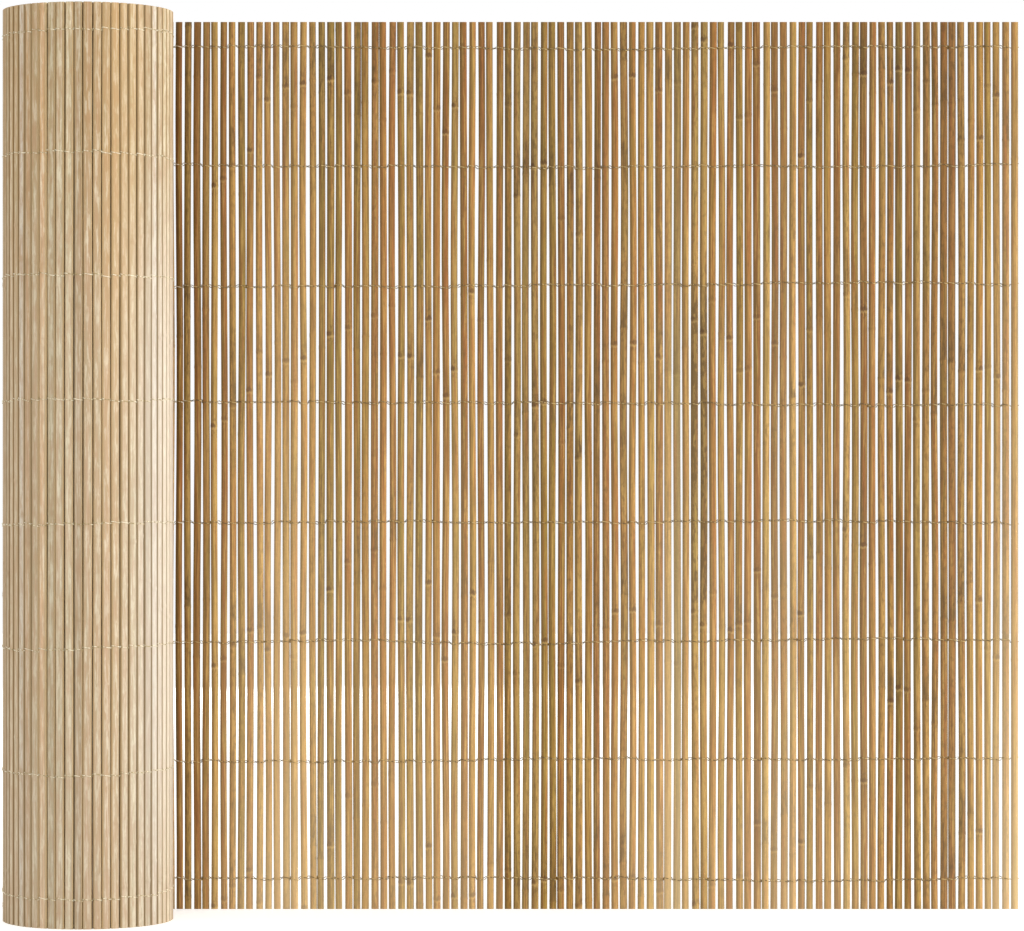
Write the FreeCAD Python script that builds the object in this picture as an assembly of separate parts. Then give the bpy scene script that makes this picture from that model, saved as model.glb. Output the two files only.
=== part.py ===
# Split-bamboo fence panel, partly unrolled and standing on end.
#
# Upright slats are bound by rows of thin wire. The left end is wound into a roll with the flat
# split side of the slats outwards. The rest runs straight along +X from the back of the roll,
# with the rounded bark side of the slats towards -Y.
#
# Millimetres, +Z up. The origin is at the bottom centre of the whole part's box.
import FreeCAD
import Part
import math
import os

Vector = FreeCAD.Vector

# Slats
fence_height = 1000.0
slat_width = 7.9            # at the bark side
slat_gap = 2.12
edge_taper = 0.3            # how much narrower the split side is at each edge
slat_thickness = 4.5
crown_rise = 0.8            # how far the rounded bark side stands above the slat's square edges
width_play = 0.24           # how much a slat's width strays, as a share of the gap
place_play = 0.34           # how far each end of a slat strays sideways, as a share of the gap

# Flat run
flat_slat_count = 104
slats_per_group = 4
run_in = 5.2                # how far the flat run starts before the middle of the roll's back

# Roll
core_radius = 36.7          # open middle of the roll
roll_turns = 7.03
turn_clearance = 2.1        # slack between two turns, beyond their wires
groove_depth = 2.2          # how far the outer side is cut in between two slats
web_thickness = 0.8         # what is left between that groove and the inner side

# Binding wires
wire_diameter = 0.7
wire_row_count = 8
top_row_inset = 28.7
bottom_row_inset = 34.4
hook_length = 3.0           # how far a wire turns round the last slat's edge
roll_wrap_degrees = 345.0   # how far a wire follows the outside of the roll
slats_per_wrap_side = 2     # a wire lies straight over this many slats of the roll

slat_pitch = slat_width + slat_gap
split_width = slat_width - 2 * edge_taper
turn_pitch = slat_thickness + 2 * wire_diameter + turn_clearance
roll_radius = core_radius + slat_thickness + roll_turns * turn_pitch
flat_back = roll_radius                     # the split side of the flat run, before centring
flat_front = flat_back - slat_thickness     # the line of the crowns


foot_stray, head_stray, width_stray = 1, 2, 3


def stray(index, kind):
    """A fixed value from -1 to 1 for each slat and kind, so that no two slats are quite alike."""
    return 2 * ((math.sin(index * 12.9898 + kind * 78.233) * 43758.5453) % 1.0) - 1


# Flat run

def stands_straight(index):
    """Whether a slat of the flat run stands beside a turn of the wires, and so has no play."""
    return index == 0 or index >= flat_slat_count - 2


def slat_section(width):
    """The section of a slat, centred on x = 0: flat back, tapered edges and a rounded front."""
    edge = flat_front + crown_rise
    corners = [
        Vector(-width / 2, edge, 0),
        Vector(edge_taper - width / 2, flat_back, 0),
        Vector(width / 2 - edge_taper, flat_back, 0),
        Vector(width / 2, edge, 0),
    ]
    crown = Part.Arc(corners[3], Vector(0, flat_front, 0), corners[0]).toShape()
    return Part.Face(Part.Wire(Part.makePolygon(corners).Edges + [crown]))


def flat_slat(index):
    """One slat of the flat run, leaning a little in the plane of the fence."""
    centre = (index + 0.5) * slat_pitch - run_in
    play = 0.0 if stands_straight(index) else slat_gap
    foot = centre + stray(index, foot_stray) * place_play * play
    head = centre + stray(index, head_stray) * place_play * play
    section = slat_section(slat_width + stray(index, width_stray) * width_play * play)
    section.translate(Vector(foot, 0, 0))
    return section.extrude(Vector(head - foot, 0, fence_height))


# Roll

def outer_radius(angle):
    """The radius of the roll's outer face, where angle grows from the back of the roll inwards."""
    return roll_radius - turn_pitch * angle / 360


def roll_slat_angles():
    """The angle of each slat of the roll, evenly spaced along the middle of the mat."""
    angles = []
    angle = 0.0
    step = slat_pitch / 2 + run_in
    while True:
        middle = outer_radius(angle) - slat_thickness / 2
        angle += math.degrees(step / middle)
        if angle > 360 * roll_turns:
            return angles
        angles.append(angle)
        step = slat_pitch


def roll_point(angle, across, depth):
    """A point of the roll's outline: across is along the mat, depth is below its outer face."""
    turn = math.radians(90 + angle)
    radius = outer_radius(angle) - depth
    return Vector(
        radius * math.cos(turn) - across * math.sin(turn),
        radius * math.sin(turn) + across * math.cos(turn),
        0,
    )


def roll_outline():
    """The closed spiral outline of the mat: grooved outside, ridged inside."""
    half = slat_width / 2
    face = split_width / 2
    valley = groove_depth + web_thickness
    outer = []
    inner = []
    angles = roll_slat_angles()
    inner.append(roll_point(angles[0], -half, valley))
    for angle, following in zip(angles, angles[1:]):
        between = (angle + following) / 2
        outer += [roll_point(angle, -face, 0), roll_point(angle, face, 0)]
        inner += [roll_point(angle, 0, slat_thickness), roll_point(between, 0, valley)]
        if angle < 360:
            outer += [roll_point(angle, half, groove_depth), roll_point(following, -half, groove_depth)]
        else:
            outer.append(roll_point(between, 0, groove_depth))
    last = angles[-1]
    outer += [roll_point(last, -face, 0), roll_point(last, face, 0)]
    inner += [roll_point(last, 0, slat_thickness), roll_point(last, half, valley)]
    return outer + inner[::-1]


def rolled_turns():
    """All turns of the roll, as one ridged wall wound inwards to the open core."""
    outline = roll_outline()
    return Part.Face(Part.makePolygon(outline + outline[:1])).extrude(Vector(0, 0, fence_height))


# Binding wires

def wrap_sides():
    """The straight stretches of a wire round the roll, each as its normal's angle and distance."""
    sides = [(0.0, flat_back)]
    angles = roll_slat_angles()
    start = 0
    while angles[start + slats_per_wrap_side] < roll_wrap_degrees:
        stop = start + slats_per_wrap_side - 1
        normal = (angles[start] + angles[stop]) / 2
        facing = roll_point(normal, 0, 0).normalize()
        corners = [
            roll_point(angle, across, 0)
            for angle in angles[start:stop + 1]
            for across in (-split_width / 2, split_width / 2)
        ]
        sides.append((normal, max(corner.dot(facing) for corner in corners)))
        start = stop + 1
    return sides


def wrap_points(sides, lift):
    """The corners of a wire's path round the roll, lifted off the slats."""
    points = []
    for (first, near), (second, far) in zip(sides, sides[1:]):
        a = math.radians(90 + first)
        b = math.radians(90 + second)
        spread = math.sin(b - a)
        points.append(Vector(
            ((near + lift) * math.sin(b) - (far + lift) * math.sin(a)) / spread,
            ((far + lift) * math.cos(a) - (near + lift) * math.cos(b)) / spread,
            0,
        ))
    last, distance = sides[-1]
    turn = math.radians(90 + last)
    points.append(Vector((distance + lift) * math.cos(turn), (distance + lift) * math.sin(turn), 0))
    return points


def binding_wire(row):
    """One row of wire: before and behind the flat slats, hooked round the last, round the roll."""
    half = wire_diameter / 2
    first_gap = -run_in
    last_gap = first_gap + (flat_slat_count - 1) * slat_pitch
    end = last_gap + slat_pitch - slat_gap / 2
    hook = flat_back - hook_length
    sides = wrap_sides()
    outline = [
        Vector(first_gap - half, flat_back, 0),
        Vector(first_gap - half, flat_front - wire_diameter, 0),
        Vector(last_gap + half, flat_front - wire_diameter, 0),
        Vector(last_gap + half, flat_back, 0),
        Vector(end, flat_back, 0),
        Vector(end, hook, 0),
        Vector(end + wire_diameter, hook, 0),
        Vector(end + wire_diameter, flat_back + wire_diameter, 0),
    ]
    outline += wrap_points(sides, wire_diameter) + wrap_points(sides, 0)[::-1]
    loop = [
        Vector(first_gap + half, flat_front, 0),
        Vector(last_gap - half, flat_front, 0),
        Vector(last_gap - half, flat_back, 0),
        Vector(first_gap + half, flat_back, 0),
    ]
    plan = Part.Face(Part.makePolygon(outline + outline[:1]))
    plan = plan.cut(Part.Face(Part.makePolygon(loop + loop[:1])))
    spacing = (fence_height - top_row_inset - bottom_row_inset) / (wire_row_count - 1)
    plan.translate(Vector(0, 0, bottom_row_inset + row * spacing - half))
    return plan.Faces[0].extrude(Vector(0, 0, wire_diameter))


# Assembly

def fence_panel():
    """Every sub-part by name."""
    parts = {}
    for number, first in enumerate(range(0, flat_slat_count, slats_per_group), start=1):
        group = range(first, min(first + slats_per_group, flat_slat_count))
        parts[f"panel_slats_{number:02d}"] = Part.makeCompound([flat_slat(index) for index in group])
    parts["rolled_turns"] = rolled_turns()
    for row in range(wire_row_count):
        parts[f"binding_wire_{row + 1}"] = binding_wire(row)
    return parts


parts = fence_panel()
whole = Part.makeCompound(list(parts.values())).BoundBox
centring = Vector(-whole.Center.x, -whole.Center.y, -whole.ZMin)
os.makedirs("parts", exist_ok=True)
for node, shape in parts.items():
    shape.translate(centring)
    shape.exportStep(f"parts/{node}.step")
    print(node, "solids", len(shape.Solids), "valid", shape.isValid(), "volume", round(shape.Volume))
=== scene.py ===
import bpy
import math
import random
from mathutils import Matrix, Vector


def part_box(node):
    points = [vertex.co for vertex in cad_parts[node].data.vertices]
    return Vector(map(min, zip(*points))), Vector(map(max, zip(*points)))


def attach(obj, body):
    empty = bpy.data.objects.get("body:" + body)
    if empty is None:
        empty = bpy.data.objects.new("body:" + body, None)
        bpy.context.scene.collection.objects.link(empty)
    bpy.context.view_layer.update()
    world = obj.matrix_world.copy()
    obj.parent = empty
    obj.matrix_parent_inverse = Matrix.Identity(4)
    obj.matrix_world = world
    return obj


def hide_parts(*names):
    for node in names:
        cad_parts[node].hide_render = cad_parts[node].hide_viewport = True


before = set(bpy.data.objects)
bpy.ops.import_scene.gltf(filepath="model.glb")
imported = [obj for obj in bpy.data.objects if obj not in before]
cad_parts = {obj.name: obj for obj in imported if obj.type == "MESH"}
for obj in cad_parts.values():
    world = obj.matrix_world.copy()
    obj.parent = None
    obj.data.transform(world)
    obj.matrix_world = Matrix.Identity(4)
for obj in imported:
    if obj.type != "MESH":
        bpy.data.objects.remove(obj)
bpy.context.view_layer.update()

# The mat's own sizes, in metres, as the construction has them
mat = {
    "height": 1.0,
    "slatWidth": 0.0079,
    "slatGap": 0.00212,
    "edgeTaper": 0.0003,
    "slatThickness": 0.0045,
    "crownRise": 0.0008,
    "widthPlay": 0.24,
    "placePlay": 0.34,
    "flatSlats": 104,
    "slatsPerGroup": 4,
    "runIn": 0.0052,
    "coreRadius": 0.0367,
    "rollTurns": 7.03,
    "turnClearance": 0.0021,
    "wireThickness": 0.0007,
    "wireRows": 8,
    "topInset": 0.0287,
    "bottomInset": 0.0344,
}
mat["pitch"] = mat["slatWidth"] + mat["slatGap"]
mat["turnPitch"] = mat["slatThickness"] + 2 * mat["wireThickness"] + mat["turnClearance"]
mat["rollRadius"] = mat["coreRadius"] + mat["slatThickness"] + mat["rollTurns"] * mat["turnPitch"]

# The roll's axis, found from the first slats of the flat run
firstLow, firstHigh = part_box("panel_slats_01")
rollCentre = Vector((firstLow[0] - mat["slatGap"] / 2 + mat["runIn"], firstHigh[1] - mat["rollRadius"], 0))


# Node trees as expressions

class Socket:
    def __init__(self, book, link):
        self.book = book
        self.link = link

    def calc(self, operation, *others):
        return self.book.add("ShaderNodeMath", {"operation": operation}, [self, *others])

    def flipped(self, operation, other):
        return self.book.add("ShaderNodeMath", {"operation": operation}, [other, self])

    def __add__(self, other):
        return self.calc("ADD", other)

    def __radd__(self, other):
        return self.calc("ADD", other)

    def __sub__(self, other):
        return self.calc("SUBTRACT", other)

    def __rsub__(self, other):
        return self.flipped("SUBTRACT", other)

    def __mul__(self, other):
        return self.calc("MULTIPLY", other)

    def __rmul__(self, other):
        return self.calc("MULTIPLY", other)

    def __truediv__(self, other):
        return self.calc("DIVIDE", other)

    def __rtruediv__(self, other):
        return self.flipped("DIVIDE", other)

    def __abs__(self):
        return self.calc("ABSOLUTE")

    def __gt__(self, other):
        return self.calc("GREATER_THAN", other)

    def __lt__(self, other):
        return self.calc("LESS_THAN", other)

    def between(self, low, high):  # 0 at low, 1 at high, smooth and clamped
        return self.book.add("ShaderNodeMapRange", {"interpolation_type": "SMOOTHSTEP"},
                             {"Value": self, "From Min": low, "From Max": high})


class NodeBook:
    def __init__(self, tree):
        self.tree = tree

    def add(self, kind, settings=None, inputs=None, output=0):
        node = self.tree.nodes.new(kind)
        for key, value in (settings or {}).items():
            if key == "stops":
                self.setStops(node.color_ramp, value)
            else:
                setattr(node, key, value)
        pairs = inputs.items() if isinstance(inputs, dict) else enumerate(inputs or [])
        for key, value in pairs:
            self.feed(node.inputs[key], value)
        return Socket(self, node.outputs[output]) if node.outputs else None

    def feed(self, socket, value):
        if isinstance(value, Socket):
            self.tree.links.new(value.link, socket)
        else:
            socket.default_value = value

    def setStops(self, ramp, stops):
        ramp.elements.remove(ramp.elements[1])
        for number, (place, colour) in enumerate(stops):
            element = ramp.elements.new(place) if number else ramp.elements[0]
            element.position = place
            element.color = colour

    def split(self, vector):  # its three numbers
        node = self.add("ShaderNodeSeparateXYZ", None, {"Vector": vector}).link.node
        return [Socket(self, node.outputs[axis]) for axis in "XYZ"]

    def mixColour(self, factor, first, second):
        return self.add("ShaderNodeMix", {"data_type": "RGBA"}, {0: factor, 6: first, 7: second}, output=2)

    def shadeBy(self, colour, level):  # multiplies a colour by a number
        return self.add("ShaderNodeVectorMath", {"operation": "SCALE"}, {"Vector": colour, "Scale": level})


def emptied(owner):  # the nodes of a material or the world, cleared for new ones
    owner.use_nodes = True
    owner.node_tree.nodes.clear()
    return NodeBook(owner.node_tree)


def paint(code):
    channels = [int(code[place:place + 2], 16) / 255 for place in (1, 3, 5)]
    linear = [value / 12.92 if value <= 0.04045 else ((value + 0.055) / 1.055) ** 2.4 for value in channels]
    return (*linear, 1.0)


# Where each slat stands

slatLook = {
    "bowShare": 0.42,       # how much of the free room beside a slat its bow may take
    "bowMost": 0.0012,
    "bowTurns": (0.6, 2.2),  # waves along a slat
    "internode": 0.300,
    "internodePlay": 0.18,
    "slatsPerCulm": (2, 7),
    "knotDrift": 0.022,
    "usualKnot": 0.33,      # most culms were cut with a knot near this height
    "knotSpread": 0.045,
    "usualShare": 0.6,
    "outerEnd": 385,        # degrees: the roll's outer turn and the stretch that shows beneath the flat run
    "outerPieces": 3,
    "outerWidth": 0.0094,   # at the bark, where the slats of the outer turn nearly meet
    "outerTaper": 0.0009,   # how much narrower their split faces are at each edge
    "rollWidthPlay": 0.0005,
    "rollPlacePlay": 0.0004,
    "rollBow": 0.0003,
    "snug": 0.0016,         # how much closer the second turn lies under the first than the rest do
    "snugFrom": (385, 420),  # degrees
    "snugUntil": (740, 780),
    # stretches of the flat run painted darker or paler: place right of the roll's axis, reach, strength; the
    # dark one beside the roll is painted shade from the roll, the pale one past it painted light
    "shadedAndToned": [
        (0.105, 0.055, -0.8), (0.206, 0.060, 0.55), (0.464, 0.012, -1.2), (0.515, 0.110, -1.05),
        (0.646, 0.020, 0.85), (0.677, 0.016, -0.6), (0.770, 0.030, 0.4), (0.905, 0.060, -1.1),
        (0.965, 0.045, -0.6), (1.025, 0.040, 0.80),
    ],
    "seed": 41,
}
strayKinds = {"foot": 1, "head": 2, "width": 3}


def stray(index, kind):  # the construction's own fixed wobble, from -1 to 1
    return 2 * ((math.sin(index * 12.9898 + strayKinds[kind] * 78.233) * 43758.5453) % 1.0) - 1


def smooth(value, low, high):  # 0 at low, 1 at high
    share = max(0.0, min(1.0, (value - low) / (high - low)))
    return share * share * (3 - 2 * share)


# painted shade and painted light beside the roll, and darker or paler stretches further on, by place along
# the flat run
def shadeAndToneAt(x):
    return sum(strength * (1 - smooth(abs(x - place), 0, reach))
               for place, reach, strength in slatLook["shadedAndToned"])


def flatSlats():
    slats = []
    dice = random.Random(slatLook["seed"])
    culm = culms(dice)
    last = mat["flatSlats"] - 1
    for index in range(mat["flatSlats"]):
        play = 0.0 if index == 0 or index >= last - 1 else mat["slatGap"]
        centre = rollCentre.x - mat["runIn"] + (index + 0.5) * mat["pitch"]
        slats.append({
            "root": Vector((centre, rollCentre.y + mat["rollRadius"], 0)),
            "facing": math.pi / 2,
            "foot": -stray(index, "foot") * mat["placePlay"] * play,
            "head": -stray(index, "head") * mat["placePlay"] * play,
            "width": mat["slatWidth"] + stray(index, "width") * mat["widthPlay"] * play,
            "fade": shadeAndToneAt(centre - rollCentre.x),
        })
    for index, slat in enumerate(slats):
        rooms = [roomBetween(slats[k], slats[k + 1]) for k in (index - 1, index) if 0 <= k < last]
        finishSlat(slat, dice, slatLook["bowShare"] * min(rooms) if 0 < index < last - 1 else 0.0, culm)
    return slats


def roomBetween(left, right):
    apart = right["root"].x - left["root"].x - (left["width"] + right["width"]) / 2
    return apart - max(right["foot"] - left["foot"], right["head"] - left["head"])


def rollSlats():
    slats = []
    dice = random.Random(slatLook["seed"] + 1)
    culm = culms(dice)
    angle = 0.0
    step = mat["pitch"] / 2 + mat["runIn"]
    while True:
        outer = mat["rollRadius"] - mat["turnPitch"] * angle / 360
        angle += math.degrees(step / (outer - mat["slatThickness"] / 2))
        if angle > 360 * mat["rollTurns"]:
            return slats
        radius = mat["rollRadius"] - mat["turnPitch"] * angle / 360
        snug = smooth(angle, *slatLook["snugFrom"]) - smooth(angle, *slatLook["snugUntil"])
        radius += slatLook["snug"] * snug
        facing = math.radians(90 + angle)
        width = slatLook["outerWidth"] if angle <= slatLook["outerEnd"] else mat["slatWidth"]
        slat = {
            "root": rollCentre + Vector((radius * math.cos(facing), radius * math.sin(facing), 0)),
            "facing": facing,
            "angle": angle,
            "foot": dice.uniform(-1, 1) * slatLook["rollPlacePlay"],
            "head": dice.uniform(-1, 1) * slatLook["rollPlacePlay"],
            "width": width + dice.uniform(-1, 1) * slatLook["rollWidthPlay"],
            "fade": 0.0,
        }
        finishSlat(slat, dice, slatLook["rollBow"], culm)
        slats.append(slat)
        step = mat["pitch"]


def culms(dice):  # slats cut from one culm stand together, with their knots at about one height
    while True:
        spacing = slatLook["internode"] * (1 + dice.uniform(-1, 1) * slatLook["internodePlay"])
        if dice.random() < slatLook["usualShare"]:
            start = dice.gauss(slatLook["usualKnot"], slatLook["knotSpread"])
        else:
            start = dice.uniform(0, spacing)
        for _ in range(dice.randint(*slatLook["slatsPerCulm"])):
            yield (start + dice.gauss(0, slatLook["knotDrift"])) % spacing, spacing


def finishSlat(slat, dice, bow, culm):
    start, spacing = next(culm)
    slat["bow"] = min(bow, slatLook["bowMost"])
    slat["bowTurns"] = dice.uniform(*slatLook["bowTurns"])
    slat["bowStart"] = dice.uniform(0, 1)
    slat["knots"] = (start, spacing, dice.uniform(0, 1))  # the third is how strong they are
    slat["mood"] = (dice.random(), dice.random(), dice.random())  # hue, tone and age


def sideShift(slat, z):  # how far a slat's middle lies off its root at a height, along the mat
    share = z / mat["height"]
    wave = math.sin(2 * math.pi * (slat["bowTurns"] * share + slat["bowStart"]))
    return slat["foot"] + (slat["head"] - slat["foot"]) * share + slat["bow"] * wave


# Slats, made by one tree

slatForm = {
    "ringsPerInternode": 6,
    "internodes": 6,
    "profilePoints": 12,
    "knotLength": 0.0032,
    "knotSwell": 0.00035,
    "cornerAcross": 0.06,   # bevel at each corner, as a share of half the width
    "cornerDepth": 0.12,    # the same as a share of half the thickness
    "merged": 0.00001,      # rings that are cut off at a slat's ends are merged within this
    "endFacing": 0.5,       # faces that point up or down more than this are cut ends
    "flatFacing": 0.97,     # faces that point this squarely outwards are the flat split face
}
innerForm = {"Profile points": 8, "Rings": 2, "Knotted": 0.0}  # plainer slats for the inner turns


def openTree(name, fields):  # a new tree with named inputs, and those inputs as sockets
    tree = bpy.data.node_groups.new(name, "GeometryNodeTree")
    tree.interface.new_socket("Geometry", in_out="INPUT", socket_type="NodeSocketGeometry")
    for key, (kind, value) in fields.items():
        made = tree.interface.new_socket(key, in_out="INPUT", socket_type=kind)
        if value is not None:
            made.default_value = value
    tree.interface.new_socket("Geometry", in_out="OUTPUT", socket_type="NodeSocketGeometry")
    book = NodeBook(tree)
    entry = tree.nodes.new("NodeGroupInput")
    return book, {key: Socket(book, entry.outputs[key]) for key in ("Geometry", *fields)}


def closeTree(book, shaped):
    leave = book.tree.nodes.new("NodeGroupOutput")
    book.tree.links.new(shaped.link, leave.inputs["Geometry"])
    return book.tree


def slatTree():
    book, given = openTree("slatTree", {
        "Height": ("NodeSocketFloat", mat["height"]),
        "Thickness": ("NodeSocketFloat", mat["slatThickness"]),
        "Crown rise": ("NodeSocketFloat", mat["crownRise"]),
        "Edge taper": ("NodeSocketFloat", mat["edgeTaper"]),
        "Knot length": ("NodeSocketFloat", slatForm["knotLength"]),
        "Knot swell": ("NodeSocketFloat", slatForm["knotSwell"]),
        "Profile points": ("NodeSocketInt", slatForm["profilePoints"]),
        "Rings": ("NodeSocketInt", slatForm["ringsPerInternode"] * slatForm["internodes"]),
        "Knotted": ("NodeSocketFloat", 1.0),
        "Material": ("NodeSocketMaterial", None),
    })

    def stored(geometry, name, value):
        return book.add("GeometryNodeStoreNamedAttribute", {"data_type": "FLOAT", "domain": "POINT"},
                        {"Geometry": geometry, "Name": name, "Value": value})

    def named(name, kind="FLOAT"):
        return book.add("GeometryNodeInputNamedAttribute", {"data_type": kind}, {"Name": name})

    # a blank of rings and turns of points, one on each slat's root
    index = book.add("GeometryNodeInputIndex")
    loop = book.add("GeometryNodeCurvePrimitiveCircle", {"mode": "RADIUS"},
                    {"Resolution": given["Profile points"], "Radius": 0.5})
    loop = stored(loop, "turn", index / given["Profile points"])
    spine = book.add("GeometryNodeCurvePrimitiveLine", {"mode": "POINTS"}, {"End": (0, 0, 1)})
    spine = book.add("GeometryNodeResampleCurve", None, {"Curve": spine, "Count": given["Rings"]})
    spine = stored(spine, "ring", index)
    blank = book.add("GeometryNodeCurveToMesh", None,
                     {"Curve": spine, "Profile Curve": loop, "Fill Caps": True})
    stood = book.add("GeometryNodeInstanceOnPoints", None, {"Points": given["Geometry"], "Instance": blank})
    stood = book.add("GeometryNodeRealizeInstances", None, {"Geometry": stood})

    # a circle clipped to a square with bevelled corners: across runs from -1 to 1 over the width,
    # side from -1 at the split face to 1 at the bark
    def clipped(value, corner):
        return (value * 2 * (1 - corner)).calc("MAXIMUM", -1.0).calc("MINIMUM", 1.0)

    turn = named("turn") * (2 * math.pi)
    across = clipped(turn.calc("COSINE"), slatForm["cornerAcross"])
    side = clipped(turn.calc("SINE"), slatForm["cornerDepth"])

    # knots stand evenly up each slat: of each group of rings, three crowd round a knot
    start, spacing, _ = book.split(named("knots", "FLOAT_VECTOR"))
    perKnot = slatForm["ringsPerInternode"]
    ring = named("ring")
    group = (ring / perKnot).calc("FLOOR")
    inGroup = ring - group * perKnot
    nearKnot = (inGroup - 1) * given["Knot length"]
    farKnot = (inGroup - 2) * spacing / (perKnot - 2)
    isFar = inGroup > 2.5
    climb = start + (group - 1) * spacing + nearKnot * (1 - isFar) + farKnot * isFar
    plain = ring / (given["Rings"] - 1) * given["Height"]
    climb = climb * given["Knotted"] + plain * (1 - given["Knotted"])
    z = climb.calc("MAXIMUM", 0.0).calc("MINIMUM", given["Height"])
    share = z / given["Height"]
    toKnot = (z - start) / spacing + 0.5
    away = abs(toKnot - toKnot.calc("FLOOR") - 0.5) * spacing
    swell = (1 - away / given["Knot length"]).calc("MAXIMUM", 0.0) * given["Knot swell"] * given["Knotted"]

    # the slat's lean, bow, taper and crown
    wave = ((named("bowTurns") * share + named("bowStart")) * (2 * math.pi)).calc("SINE")
    foot = named("foot")
    shift = foot + (named("head") - foot) * share + named("bow") * wave
    reach = across * (named("width") / 2 - (1 - side) * given["Edge taper"] / 2 + swell * 0.5) + shift
    crown = side.calc("MAXIMUM", 0.0) * (1 - across * across) * given["Crown rise"]
    depth = (side * 0.5 + 0.5) * (given["Thickness"] - given["Crown rise"]) + crown + swell * side
    facing = named("facing")
    outX = facing.calc("COSINE")
    outY = facing.calc("SINE")
    rootX, rootY, _ = book.split(named("root", "FLOAT_VECTOR"))
    place = book.add("ShaderNodeCombineXYZ", None, {
        "X": rootX - outY * reach - outX * depth,
        "Y": rootY + outX * reach - outY * depth,
        "Z": z,
    })
    shaped = stored(stored(stood, "across", across), "side", side)
    shaped = book.add("GeometryNodeSetPosition", None, {"Geometry": shaped, "Position": place})
    shaped = book.add("GeometryNodeMergeByDistance", None,
                      {"Geometry": shaped, "Distance": slatForm["merged"]})

    # the ends and the split face stay flat
    normalX, normalY, normalZ = book.split(book.add("GeometryNodeInputNormal"))
    isSide = abs(normalZ) < slatForm["endFacing"]
    isSplitFace = normalX * outX + normalY * outY > slatForm["flatFacing"]
    shaped = book.add("GeometryNodeSetShadeSmooth", {"domain": "FACE"},
                      {"Geometry": shaped, "Shade Smooth": isSide * (1 - isSplitFace)})
    shaped = book.add("GeometryNodeSetMaterial", None, {"Geometry": shaped, "Material": given["Material"]})
    return closeTree(book, shaped)


def applyTree(name, mesh, tree, values):  # runs a tree on a mesh and keeps the result as plain faces
    carrier = bpy.data.objects.new(name + "Carrier", mesh)
    bpy.context.scene.collection.objects.link(carrier)
    modifier = carrier.modifiers.new("tree", "NODES")
    modifier.node_group = tree
    for item in tree.interface.items_tree:
        if item.in_out == "INPUT" and item.name in values:
            modifier[item.identifier] = values[item.name]
    graph = bpy.context.evaluated_depsgraph_get()
    finished = bpy.data.meshes.new_from_object(carrier.evaluated_get(graph), depsgraph=graph)
    finished.name = name
    piece = bpy.data.objects.new(name, finished)
    bpy.context.scene.collection.objects.link(piece)
    carrier.modifiers.remove(modifier)
    bpy.data.objects.remove(carrier)
    return piece


def slatPoints(name, slats):
    mesh = bpy.data.meshes.new(name + "Points")
    mesh.from_pydata([slat["root"] for slat in slats], [], [])
    for key in ("facing", "foot", "head", "width", "bow", "bowTurns", "bowStart", "fade"):
        mesh.attributes.new(key, "FLOAT", "POINT").data.foreach_set("value", [slat[key] for slat in slats])
    for key in ("root", "knots", "mood"):
        flat = [value for slat in slats for value in slat[key]]
        mesh.attributes.new(key, "FLOAT_VECTOR", "POINT").data.foreach_set("vector", flat)
    return mesh


def makeSlats(name, slats, tree, values, slot, *nodes):
    piece = applyTree(name, slatPoints(name, slats), tree, values)
    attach(piece, "root")
    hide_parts(*nodes)


# Bamboo, with its bark on one side and its pale split face on the other

barkColours = {
    "slats": [
        "#BC8C42", "#AF7A38", "#A68036", "#C0924C", "#98662C", "#B88A48", "#B27C3E", "#967634", "#C49C54",
    ],
    "redStreak": "#AA6430",
    "greenStreak": "#8E7A30",
    "paleStreak": "#D6AC62",
    "darkStreak": "#6A461A",
    "aged": "#5E441C",
    "edge": "#6C5428",
    "paleAndLit": "#E2CBA0",
    "knotSpot": "#543010",
    "knotLine": "#D8B470",
}
splitColours = {
    "slats": [
        "#CFBB97", "#C4B690", "#D6AC7E", "#D3C09E", "#C0AA84", "#E2DACC", "#CCBA90", "#E0CAA2", "#DAB68E",
    ],
    "pinkPatch": "#C9A587",
    "greyPatch": "#B3A88A",
    "fibre": "#A88C60",
    "pale": "#E8DCC0",
    "side": "#A88C60",
    "stain": "#A88A5E",
    "smear": "#B8926C",
    "brown": "#B89468",
    "honey": "#C8A068",
    "paleAndLit": "#EEE6DA",
}
endColours = {
    "fibre": "#7A5830",
    "pith": "#D8C294",
    "rind": "#6E4C24",
}
bambooLook = {
    "shadedTop": 0.83,        # painted shade and light: the bark darker towards the top and paler at the bottom
    "litBottom": 1.12,
    "shadeAndToneLevel": 0.16,       # how much a darker or paler stretch, beside the roll painted shade and light, changes that
    "toneLevels": (0.87, 1.13),  # the darkest slat and the palest
    "gloss": 0.3,
    "barkFlank": "#8A7140",
    # the split face's flanks are painted paler than the face itself: painted light in the roll's grooves
    "litSplitFlank": "#E6CFA2",
    "shadedFlank": "#7E6238",  # painted shade in the grooves at the roll's left, and half as much at its right
    "endFibres": 1500.0,
    "regions": (7.0, 1.0),   # scale and detail of patterns that cross from slat to slat
    "smears": (42.0, 3.0),
    "rollLightReach": 0.02,        # the roll's painted light ends this far past its side
    "bumpStrength": 0.35,
    "bumpDepth": 0.0003,
}
# How fast a pattern changes across a slat and along it, a number that sets it apart, and its detail.
# bambooMaterial takes them in this order.
grain = {
    "broad": (1.1, 9.0, 3.0, 3.0),
    "fine": (2.6, 14.0, 11.0, 3.0),
    "hair": (9.0, 40.0, 29.0, 3.0),
    "patches": (1.2, 45.0, 47.0, 3.0),
    "mottle": (1.4, 130.0, 61.0, 3.0),
    "specks": (2.2, 260.0, 71.0, 1.0),
}
knotLook = {
    "wobble": 0.006,         # how unevenly a knot runs across its slat
    "barkStain": (0.004, 0.075),  # how far above a knot its mark is full, and where it ends
    "splitStain": (0.001, 0.006),  # the same to both sides of the knot, here and below
    "sootReach": (0.002, 0.022),
    "lineReach": (0.0006, 0.0020),
    "lineBelow": 0.0034,
    "spotEdge": (0.3, 1.4),  # as shares of the spot's own size
    "spotAcross": 0.80,      # as a share of half the slat's width
    "spotAlong": 0.0034,
}
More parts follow.
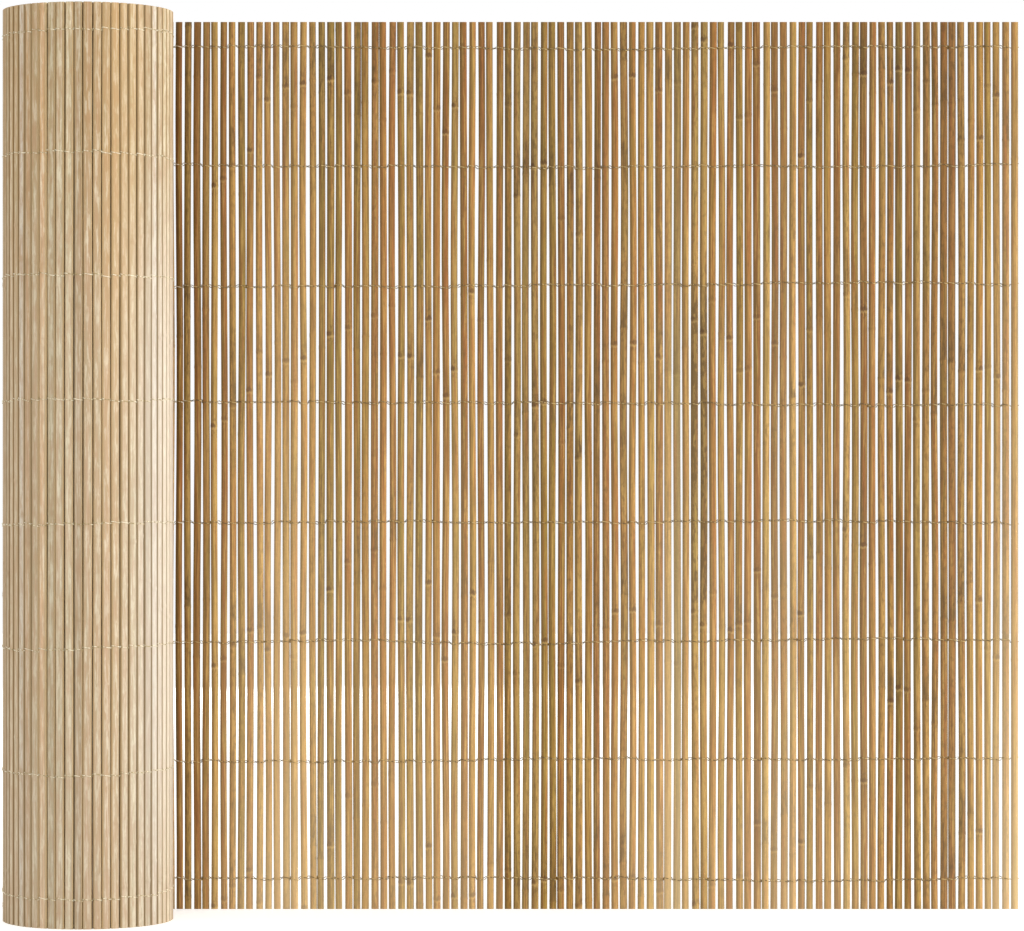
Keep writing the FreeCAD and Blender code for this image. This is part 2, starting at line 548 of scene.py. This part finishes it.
# The middle of a place on the mat, how far from it the place is full, and where it ends, in metres
places = {
    "weathered": (0.677, 0.007, 0.017),      # one group of slats, right of the roll's axis
    "weatheredHeight": (0.51, 0.10, 0.20),
    "midway": (0.42, 0.15, 0.50),            # up the roll, where its painted light is strongest
    "greyBand": (-0.006, 0.012, 0.032),      # on the roll's front, right of its axis
    "brownBand": (0.020, 0.014, 0.034),
    "honeyBand": (0.048, 0.012, 0.034),
}


def evenStops(codes):
    return [(number / len(codes), paint(code)) for number, code in enumerate(codes)]


def bambooMaterial(name, flankColour):
    material = bpy.data.materials.new(name)
    book = emptied(material)

    def attribute(key, output="Fac"):
        return book.add("ShaderNodeAttribute", {"attribute_name": key}, output=output)

    point = book.add("ShaderNodeTexCoord", output="Object")
    x, _, z = book.split(point)
    hue, tone, age = book.split(attribute("mood", "Vector"))
    knotStart, knotSpacing, knotDepth = book.split(attribute("knots", "Vector"))
    across = attribute("across")
    side = attribute("side")
    fade = attribute("fade")
    fromAxis = x - rollCentre.x
    low = 1 - z / mat["height"]

    def streaks(acrossScale, alongScale, apart, detail):  # hue and tone shift them from slat to slat
        where = book.add("ShaderNodeCombineXYZ", None, {
            "X": across * acrossScale + hue * 37.0,
            "Y": side * 1.5 + tone * 53.0 + apart,
            "Z": z * alongScale,
        })
        return book.add("ShaderNodeTexNoise", {"noise_dimensions": "3D"},
                        {"Vector": where, "Scale": 1.0, "Detail": detail, "Roughness": 0.6})

    def near(value, middle, full, end):
        return 1 - abs(value - middle).between(full, end)

    def overlaid(colours, layers):  # each slat's own colour, with others laid over it by given amounts
        colour = book.add("ShaderNodeValToRGB", {"stops": evenStops(colours["slats"])}, [hue])
        colour.link.node.color_ramp.interpolation = "CONSTANT"
        for key, amount in layers:
            colour = book.mixColour(amount, colour, paint(colours[key]))
        return colour

    broad, fine, hair, patches, mottle, specks = [streaks(*numbers) for numbers in grain.values()]
    regions, smears = [
        book.add("ShaderNodeTexNoise", None, {"Vector": point, "Scale": scale, "Detail": detail})
        for scale, detail in (bambooLook["regions"], bambooLook["smears"])
    ]

    # knots: a dark spot on part of the width, a pale line below it and some soot round it
    toKnot = (z - knotStart) / knotSpacing + 0.5
    fromKnot = toKnot - toKnot.calc("FLOOR") - 0.5
    away = fromKnot * knotSpacing + (fine - 0.5) * knotLook["wobble"]
    spotAcross = (across - hue * 1.2 + 0.6) / knotLook["spotAcross"]
    spotAlong = away / knotLook["spotAlong"]
    spot = 1 - (spotAcross * spotAcross + spotAlong * spotAlong).between(*knotLook["spotEdge"])
    line = near(away, -knotLook["lineBelow"], *knotLook["lineReach"]) * knotDepth.between(0.3, 0.9)
    soot = near(away, 0.0, *knotLook["sootReach"]) * specks.between(0.48, 0.62)

    # old bark: in some regions and slats, above the knots, and nearly black in one group of slats
    # the darker stretches, beside the roll painted shade, also get more old bark
    darkerStretch = fade.calc("MINIMUM", 0.0)
    weathered = near(fromAxis, *places["weathered"]) * near(z, *places["weatheredHeight"])
    aged = (age * 0.5 + regions + weathered * 0.5 - darkerStretch * 0.15).between(0.72, 0.98)
    old = (aged + weathered) * (patches.between(0.50, 0.62) * 0.30 + mottle.between(0.50, 0.62) * 0.20)
    old = old + weathered * broad.between(0.30, 0.50) * 0.50
    aboveKnot = (away > 0) * (1 - away.between(*knotLook["barkStain"]))
    old = (old + aboveKnot * (0.12 + aged * 0.28) * patches.between(0.35, 0.55)).calc("MINIMUM", 0.8)
    # painted light: the bark paler towards the bottom, less so in the darker stretches, and paler in the
    # paler stretches
    paleAndLit = low * low * 0.22 * (1 + darkerStretch.calc("MAXIMUM", -1.0))
    paleAndLit = paleAndLit + fade.calc("MAXIMUM", 0.0) * (0.06 + low * 0.28)

    # bark: its slats differ in hue, and each drifts redder, greener, paler and darker along its length
    bark = overlaid(barkColours, [
        ("redStreak", broad.between(0.50, 0.64) * 0.50),
        ("greenStreak", (1 - broad).between(0.50, 0.66) * 0.50),
        # pale streaks stronger towards the bottom: partly painted light
        ("paleStreak", fine.between(0.50, 0.64) * (low * 0.22 + 0.50)),
        ("darkStreak", (1 - fine).between(0.52, 0.66) * 0.55),
        ("darkStreak", hair.between(0.52, 0.66) * 0.42),
        ("aged", old),
        ("darkStreak", mottle.between(0.52, 0.64) * 0.18),
        # painted shade: each slat darker towards its rounded edges, more on one side
        ("edge", abs(across + tone * 0.5 - 0.05).between(0.42, 1.02) * 0.70),
        ("knotSpot", soot * knotDepth * 0.40),
        ("knotSpot", spot * knotDepth.between(0.25, 0.95) * 0.66),
        ("knotLine", line * 0.35),
        ("paleAndLit", paleAndLit),
    ])
    # painted shade and light: darker towards the top, paler at the bottom, and darker or paler in the
    # stretches
    rise = bambooLook["litBottom"] - bambooLook["shadedTop"]
    level = (bambooLook["shadedTop"] + low * rise) * (1 + fade * bambooLook["shadeAndToneLevel"])
    bark = book.shadeBy(bark, level)

    # split face: grey, brown and honey bands on the roll's front, with painted light at its right, up its
    # middle and at its foot
    isRoll = 1 - fromAxis.between(mat["rollRadius"], mat["rollRadius"] + bambooLook["rollLightReach"])
    midway = near(z, *places["midway"])
    # the brown band is partly browner slats and partly painted shade
    brownBand = near(fromAxis, *places["brownBand"]) * (1.0 - midway * 0.30)
    honeyBand = near(fromAxis, *places["honeyBand"]) * (1 - low.between(0.25, 0.60))
    stain = near(away, 0.0, *knotLook["splitStain"]) * 0.5 + patches.between(0.56, 0.68) * 0.4
    # painted light: the roll paler at its right, up its middle and at its foot, and on the flat run's back
    # just past it
    paintedLight = fromAxis.between(0.040, 0.085) * (0.05 + midway * 0.38)
    paintedLight = paintedLight + midway * 0.10 + low.between(0.70, 1.0) * 0.12
    pale = overlaid(splitColours, [
        ("greyPatch", near(fromAxis, *places["greyBand"]) * 0.45 + low.between(0.55, 0.95) * 0.20),
        ("brown", brownBand),
        ("pinkPatch", broad.between(0.50, 0.62) * 0.50),
        ("greyPatch", (1 - broad).between(0.50, 0.62) * 0.45),
        ("pale", fine.between(0.50, 0.62) * 0.60),
        ("fibre", (1 - fine).between(0.52, 0.66) * 0.40),
        ("fibre", hair.between(0.50, 0.62) * 0.50),
        ("stain", stain * knotDepth),
        ("smear", patches.between(0.50, 0.60) * 0.40),
        ("pale", (1 - patches).between(0.52, 0.62) * 0.45),
        ("smear", smears.between(0.52, 0.64) * 0.28),
        ("smear", mottle.between(0.52, 0.64) * 0.32),
        # painted shade: the split faces darker towards their edges at the grooves
        ("side", abs(across).between(0.55, 1.02) * 0.80),
        # painted shade: the roll browner towards its left side
        ("brown", (1 - fromAxis.between(-0.085, -0.035)) * 0.22),
        ("honey", honeyBand * 0.32),
        ("paleAndLit", isRoll * paintedLight),
    ])
    # painted shade on the brown band
    pale = book.shadeBy(pale, 1 - isRoll * brownBand * 0.09)

    # the two together, with their flanks and the cut ends, whose dark fibres stand closest at the rind
    isBark = side.between(0.15, 0.75)
    colour = book.mixColour(isBark, pale, bark)
    # painted shade on the flanks at the roll's left and right, painted light on the split flanks in its
    # middle
    lightFlank = fromAxis.between(-0.075, -0.035) * (1 - isRoll * fromAxis.between(0.02, 0.06) * 0.6)
    flankTone = book.mixColour(lightFlank, paint(bambooLook["shadedFlank"]), paint(flankColour))
    colour = book.mixColour((1 - abs(side)).between(0.02, 0.30) * 0.7, colour, flankTone)
    up = book.split(book.add("ShaderNodeNewGeometry", output="Normal"))[2]
    isEnd = abs(up).between(0.6, 0.9)
    dots = book.add("ShaderNodeTexVoronoi", {"feature": "F1"},
                    {"Vector": point, "Scale": bambooLook["endFibres"]})
    bundles = dots.between(0.15, 0.50) * 0.7 + (1 - isBark) * 0.3
    ends = book.mixColour(bundles, paint(endColours["fibre"]), paint(endColours["pith"]))
    ends = book.mixColour(side.between(0.75, 1.0) * 0.8, ends, paint(endColours["rind"]))
    colour = book.mixColour(isEnd, colour, ends)
    darkest, palest = bambooLook["toneLevels"]
    colour = book.shadeBy(colour, darkest + tone * (palest - darkest))

    ridges = (fine * 0.6 + hair * 0.5) * (1 - isEnd)
    bump = book.add("ShaderNodeBump", None, {
        "Strength": bambooLook["bumpStrength"],
        "Distance": bambooLook["bumpDepth"],
        "Height": ridges,
    })
    shader = book.add("ShaderNodeBsdfPrincipled", None, {
        "Base Color": colour,
        "Roughness": 0.72 - isBark * 0.20 + fine * 0.12,
        "Normal": bump,
        "Specular IOR Level": bambooLook["gloss"],
    })
    book.add("ShaderNodeOutputMaterial", None, {"Surface": shader})
    return material


# Binding wire

wireLook = {
    "sides": 5,
    "smoothness": 2,        # points between two of a strand's own
    "radius": 0.00043,
    "clear": 0.00004,
    "backEdge": 0.0001,     # how far a strand's middle stands off a slat's edge, behind it
    "frontEdge": 0.0002,    # and in front of it
    "beside": 0.0001,
    "hookDepths": (0.0030, 0.0012),  # where the end lies beside the last slat
    "lift": 0.00030,        # how far the two strands stand apart where they cross in a gap
    "looseLift": 0.0015,    # the same where the twist is loose
    "liftPlay": (0.8, 1.2),
    "looseShare": 0.40,
    "slant": 0.0016,        # how far a strand climbs over a slat
    "wander": 0.0021,
    "waves": 4,
    "waveStrength": (0.4, 1.0),
    "waveTurns": (3, 7),    # radians for each metre
    "rollWander": 0.5,      # how much more it wanders on the roll
    "wilderWithin": 0.1,
    "jitter": 0.0014,
    "seed": 7,
    # dull is the wire's own colour with painted shade, glint a painted highlight; both paler on the roll
    "dull": "#6A5632",
    "glint": "#D8BC80",
    "rolledDull": "#A8925F",
    "rolledGlint": "#FFF6DC",
    "twistShade": "#352D20",     # painted shade, darker where the strands cross in the gaps
    "metallic": 0.35,
    "rolledMetallic": 0.15,
    "beyondRoll": 0.001,    # the roll's colours reach this far past its side
    "bloom": 380.0,
    "bumpStrength": 0.2,
    "bumpDepth": 0.0001,
}


def wireMaterial():
    material = bpy.data.materials.new("galvanisedWire")
    book = emptied(material)
    point = book.add("ShaderNodeTexCoord", output="Object")
    bloom = book.add("ShaderNodeTexNoise", None, {"Vector": point, "Scale": wireLook["bloom"], "Detail": 3.0})
    # painted highlights and shade: the bloom pattern sets where the wire is painted with bright glints and
    # where dull
    shine = bloom.between(0.40, 0.60)
    colour = book.mixColour(shine, paint(wireLook["dull"]), paint(wireLook["glint"]))
    rolledColour = book.mixColour(shine, paint(wireLook["rolledDull"]), paint(wireLook["rolledGlint"]))
    onRoll = book.split(point)[0] < rollCentre.x + mat["rollRadius"] + wireLook["beyondRoll"]
    colour = book.mixColour(onRoll, colour, rolledColour)
    twisted = book.add("ShaderNodeAttribute", {"attribute_name": "twisted"}, output="Fac")
    # painted shade where the strands cross between slats, less on the roll
    dull = twisted.between(0.2, 0.8) * (0.9 - onRoll * 0.5)
    colour = book.mixColour(dull, colour, paint(wireLook["twistShade"]))
    bump = book.add("ShaderNodeBump", None, {
        "Strength": wireLook["bumpStrength"],
        "Distance": wireLook["bumpDepth"],
        "Height": bloom,
    })
    shader = book.add("ShaderNodeBsdfPrincipled", None, {
        "Base Color": colour,
        "Metallic": wireLook["metallic"] + onRoll * (wireLook["rolledMetallic"] - wireLook["metallic"]),
        "Roughness": 0.42 + bloom * 0.2,
        "Normal": bump,
    })
    book.add("ShaderNodeOutputMaterial", None, {"Surface": shader})
    return material


def wireTree():
    book, given = openTree("wireTree", {
        "Wire radius": ("NodeSocketFloat", wireLook["radius"]),
        "Sides": ("NodeSocketInt", wireLook["sides"]),
        "Smoothness": ("NodeSocketInt", wireLook["smoothness"]),
        "Material": ("NodeSocketMaterial", None),
    })
    course = book.add("GeometryNodeMeshToCurve", None, {"Mesh": given["Geometry"]})
    course = book.add("GeometryNodeCurveSplineType", {"spline_type": "CATMULL_ROM"}, {"Curve": course})
    course = book.add("GeometryNodeSetSplineResolution", None,
                      {"Geometry": course, "Resolution": given["Smoothness"]})
    section = book.add("GeometryNodeCurvePrimitiveCircle", {"mode": "RADIUS"},
                       {"Resolution": given["Sides"], "Radius": given["Wire radius"]})
    tube = book.add("GeometryNodeCurveToMesh", None,
                    {"Curve": course, "Profile Curve": section, "Fill Caps": True})
    tube = book.add("GeometryNodeRealizeInstances", None, {"Geometry": tube})
    tube = book.add("GeometryNodeSetShadeSmooth", {"domain": "FACE"},
                    {"Geometry": tube, "Shade Smooth": True})
    tube = book.add("GeometryNodeSetMaterial", None, {"Geometry": tube, "Material": given["Material"]})
    return closeTree(book, tube)


def slatPoint(slat, z, across, depth):  # a point across a slat and below its split face
    out = Vector((math.cos(slat["facing"]), math.sin(slat["facing"]), 0))
    along = Vector((-out.y, out.x, 0))
    return slat["root"] + along * (sideShift(slat, z) + across) - out * depth + Vector((0, 0, z))


def rowWander(dice):  # how far a row strays up or down, by its place along the mat
    waves = []
    for number in range(1, wireLook["waves"] + 1):
        strength = dice.uniform(*wireLook["waveStrength"]) / number
        turns = dice.uniform(*wireLook["waveTurns"]) * number
        waves.append((strength, turns, dice.uniform(0, 6)))
    flatEnd = mat["flatSlats"] * mat["pitch"]

    def wander(along):
        wilder = 1 + wireLook["rollWander"] * smooth(along, flatEnd, flatEnd + wireLook["wilderWithin"])
        swing = sum(strength * math.sin(wilder * turns * along + start) for strength, turns, start in waves)
        return wireLook["wander"] * wilder * swing

    return wander


def strandPoints(slats, height, strand, wander, offsets):
    radius = wireLook["radius"] + wireLook["clear"]
    thick = mat["slatThickness"]
    slant = wireLook["slant"] / 2
    heights = [height + wander(number * mat["pitch"]) + offset[0] for number, offset in enumerate(offsets)]
    points = []
    crossings = []
    for number, slat in enumerate(slats):
        z = heights[number]
        half = slat["width"] / 2
        overBack = (number + strand) % 2 == 0
        if overBack:
            rise, onEdge, onFace = slant, -wireLook["backEdge"], -radius
        else:
            rise, onEdge, onFace = -slant, thick - mat["crownRise"] + wireLook["frontEdge"], thick + radius
        if number == 0:
            if not overBack:
                continue
            points += [slatPoint(slat, z, -half - radius, depth) for depth in wireLook["hookDepths"]]
        points.append(slatPoint(slat, z + rise, -half - wireLook["beside"], onEdge))
        points.append(slatPoint(slat, z, 0, onFace))
        points.append(slatPoint(slat, z - rise, half + wireLook["beside"], onEdge))
        if number + 1 < len(slats):
            after = slats[number + 1]
            edges = slatPoint(slat, z, half, thick / 2) + slatPoint(after, z, -after["width"] / 2, thick / 2)
            middle = edges / 2
            middle.z = (z + heights[number + 1]) / 2 + offsets[number][1] * (-1 if overBack else 1)
            crossings.append(len(points))
            points.append(middle)
    return points, crossings


def wireRows(slats):
    tree = wireTree()
    material = wireMaterial()
    spacing = (mat["height"] - mat["topInset"] - mat["bottomInset"]) / (mat["wireRows"] - 1)
    for row in range(mat["wireRows"]):
        dice = random.Random(wireLook["seed"] * 100 + row)
        wander = rowWander(dice)
        loose = [dice.random() < wireLook["looseShare"] for _ in slats]
        lifts = [wireLook["looseLift"] if isLoose else wireLook["lift"] for isLoose in loose]
        offsets = [
            (dice.uniform(-1, 1) * wireLook["jitter"], lift * dice.uniform(*wireLook["liftPlay"]))
            for lift in lifts
        ]
        height = mat["bottomInset"] + row * spacing
        vertices = []
        edges = []
        twisted = []
        for strand in (0, 1):
            course, crossings = strandPoints(slats, height, strand, wander, offsets)
            edges += [(len(vertices) + k, len(vertices) + k + 1) for k in range(len(course) - 1)]
            vertices += course
            twisted += [float(k in crossings) for k in range(len(course))]
        name = f"bindingWire{row + 1}"
        mesh = bpy.data.meshes.new(name + "Course")
        mesh.from_pydata(vertices, edges, [])
        mesh.attributes.new("twisted", "FLOAT", "POINT").data.foreach_set("value", twisted)
        piece = applyTree(name, mesh, tree, {"Material": material})
        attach(piece, "root")
        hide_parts(f"binding_wire_{row + 1}")


# Assembly

tree = slatTree()
bark = bambooMaterial("barkBamboo", bambooLook["barkFlank"])
splitFace = bambooMaterial("splitBamboo", bambooLook["litSplitFlank"])
panel = flatSlats()
groups = range(0, mat["flatSlats"], mat["slatsPerGroup"])
for number, first in enumerate(groups, start=1):
    makeSlats(f"panelSlats{number:02d}", panel[first:first + mat["slatsPerGroup"]], tree,
              {"Material": bark}, "bark_side", f"panel_slats_{number:02d}")
print("flat run:", len(panel), "slats in", len(groups), "pieces")

rolled = rollSlats()
outerTurn = [slat for slat in rolled if slat["angle"] <= slatLook["outerEnd"]]
innerTurns = rolled[len(outerTurn):]
perPiece = math.ceil(len(outerTurn) / slatLook["outerPieces"])
for number in range(slatLook["outerPieces"]):
    makeSlats(f"rollOuterTurn{number + 1}", outerTurn[number * perPiece:(number + 1) * perPiece], tree,
              {"Material": splitFace, "Edge taper": slatLook["outerTaper"]}, "split_side", "rolled_turns")
makeSlats("rollInnerTurns", innerTurns, tree,
          {"Material": splitFace, **innerForm}, "split_side", "rolled_turns")
print("roll:", len(outerTurn), "outer slats and", len(innerTurns), "inner slats")

wireRows(panel[::-1] + outerTurn)
print("wires:", mat["wireRows"], "rows")


# Stage

stageLook = {
    "floorSize": 14.0,
    "floorColour": "#E8E8E6",
    "floorGlow": 0.55,       # what the camera sees of the floor is lifted by this to white
    "worldLight": 0.70,
    # where each lamp stands, where it points, how wide it is and its watts
    "lamps": {
        "front": ((-0.8, -3.6, 0.7), (-0.2, 0, 0.5), 1.2, 33),
        "rightSide": ((5.4, -0.8, 0.6), (-0.2, 0, 0.5), 2.0, 252),
        "back": ((-0.8, 4.2, 1.0), (0.0, 0, 0.5), 1.6, 45),
    },
}


# One shader for the light on the object, and a whiter one for what a camera, mirror or glass sees
def whiteToCamera(book, plain, whiter):
    path = book.add("ShaderNodeLightPath").link.node
    seen = Socket(book, path.outputs["Is Camera Ray"]) + Socket(book, path.outputs["Is Glossy Ray"])
    seen = (seen + Socket(book, path.outputs["Is Transmission Ray"])).calc("MINIMUM", 1.0)
    return book.add("ShaderNodeMixShader", None, [seen, plain, whiter])


def makeFloor():
    half = stageLook["floorSize"] / 2
    corners = [(-half, -half, 0), (half, -half, 0), (half, half, 0), (-half, half, 0)]
    mesh = bpy.data.meshes.new("floor")
    mesh.from_pydata(corners, [], [(0, 1, 2, 3)])
    floor = bpy.data.objects.new("floor", mesh)
    bpy.context.scene.collection.objects.link(floor)
    material = bpy.data.materials.new("paleFloor")
    book = emptied(material)
    pale = book.add("ShaderNodeBsdfDiffuse", None, {"Color": paint(stageLook["floorColour"])})
    glow = book.add("ShaderNodeEmission", None, {"Color": (1, 1, 1, 1), "Strength": stageLook["floorGlow"]})
    lifted = book.add("ShaderNodeAddShader", None, [pale, glow])
    book.add("ShaderNodeOutputMaterial", None, {"Surface": whiteToCamera(book, pale, lifted)})
    mesh.materials.append(material)


def makeWorld():
    world = bpy.data.worlds.new("studio")
    bpy.context.scene.world = world
    book = emptied(world)
    level = stageLook["worldLight"]
    soft = book.add("ShaderNodeBackground", None, {"Color": (1, 1, 1, 1), "Strength": level})
    white = book.add("ShaderNodeBackground", None, {"Color": (1, 1, 1, 1), "Strength": 1.0})
    book.add("ShaderNodeOutputWorld", None, {"Surface": whiteToCamera(book, soft, white)})


def areaLight(name, place, target, size, watts):
    light = bpy.data.lights.new(name, "AREA")
    light.shape = "DISK"
    light.size = size
    light.energy = watts
    lamp = bpy.data.objects.new(name, light)
    lamp.location = place
    lamp.rotation_euler = (Vector(target) - Vector(place)).to_track_quat("-Z", "Y").to_euler()
    bpy.context.scene.collection.objects.link(lamp)


cameraLook = {
    "imageWidth": 1024,      # pixels
    "focalLength": 3743,     # pixels too
    "sensorWidth": 36.0,     # millimetres
    "rightOfRoll": 0.4652,
    "distance": 4.126,       # from the roll's axis
}


def makeCamera():
    data = bpy.data.cameras.new("camera")
    data.sensor_width = cameraLook["sensorWidth"]
    data.lens = data.sensor_width * cameraLook["focalLength"] / cameraLook["imageWidth"]
    camera = bpy.data.objects.new("camera", data)
    fromRoll = Vector((cameraLook["rightOfRoll"], -cameraLook["distance"], mat["height"] / 2))
    camera.location = rollCentre + fromRoll
    camera.rotation_euler = (math.pi / 2, 0, 0)
    bpy.context.scene.collection.objects.link(camera)
    bpy.context.scene.camera = camera


makeFloor()
makeWorld()
for name, lamp in stageLook["lamps"].items():
    areaLight(name, *lamp)
makeCamera()
bpy.context.scene.view_settings.view_transform = "Standard"
print("stage, lamps and camera placed")
